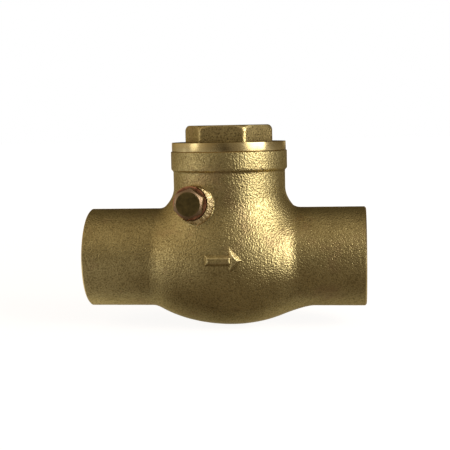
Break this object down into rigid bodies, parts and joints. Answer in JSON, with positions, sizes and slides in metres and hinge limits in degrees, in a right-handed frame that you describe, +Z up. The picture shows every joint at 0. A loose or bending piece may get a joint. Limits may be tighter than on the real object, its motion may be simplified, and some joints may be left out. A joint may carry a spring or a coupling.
{
  "type": "swing check valve",
  "caption": "Cast brass swing check valve with solder ends: a hinged disc lets water through one way and shuts on its seat against backflow.",
  "frame": {"origin": "where the pipe axis meets the neck axis", "axes": "+X along the pipe axis, the way the water flows; +Z up the neck to the bonnet cap; +Y away from the side with the hinge pin plug"},
  "size_m": [0.0732, 0.0359, 0.0528],
  "materials": {
    "cast_brass": "sand-cast, shot-blasted brass with a fine grain, dull golden brown",
    "cap_brass": "cast hexagon with a turned flange, brighter gold on the turned edge",
    "turned_brass": "turned brass with fine lathe marks",
    "plug_brass": "milled brass, pinkish on its chamfers",
    "copper": "soft annealed copper, matt red",
    "stainless_steel": "ground stainless steel",
    "black_rubber": "moulded black nitrile rubber"
  },
  "bodies": {
    "valve": {"valve_body": "cast_brass", "bonnet_cap": "cap_brass", "cap_gasket": "black_rubber", "hinge_pin": "stainless_steel", "pin_plug": "plug_brass", "plug_washer": "copper"},
    "arm": {"disc_arm": "cast_brass"},
    "flap": {"disc": "turned_brass", "disc_seal": "black_rubber", "seal_retainer": "turned_brass", "seal_screw": "stainless_steel", "nut_washer": "stainless_steel", "disc_nut": "turned_brass"}
  },
  "joints": [
    {"name": "flap_hinge", "type": "hinge", "parent": "valve", "child": "arm", "pos_m": [-0.0084, 0, 0.0154], "axis": [0, -1, 0], "range_deg": [0, 60]},
    {"name": "disc_spin", "type": "hinge", "parent": "arm", "child": "flap", "pos_m": [-0.0078, 0, 0], "axis": [1, 0, 0], "continuous": true}
  ]
}
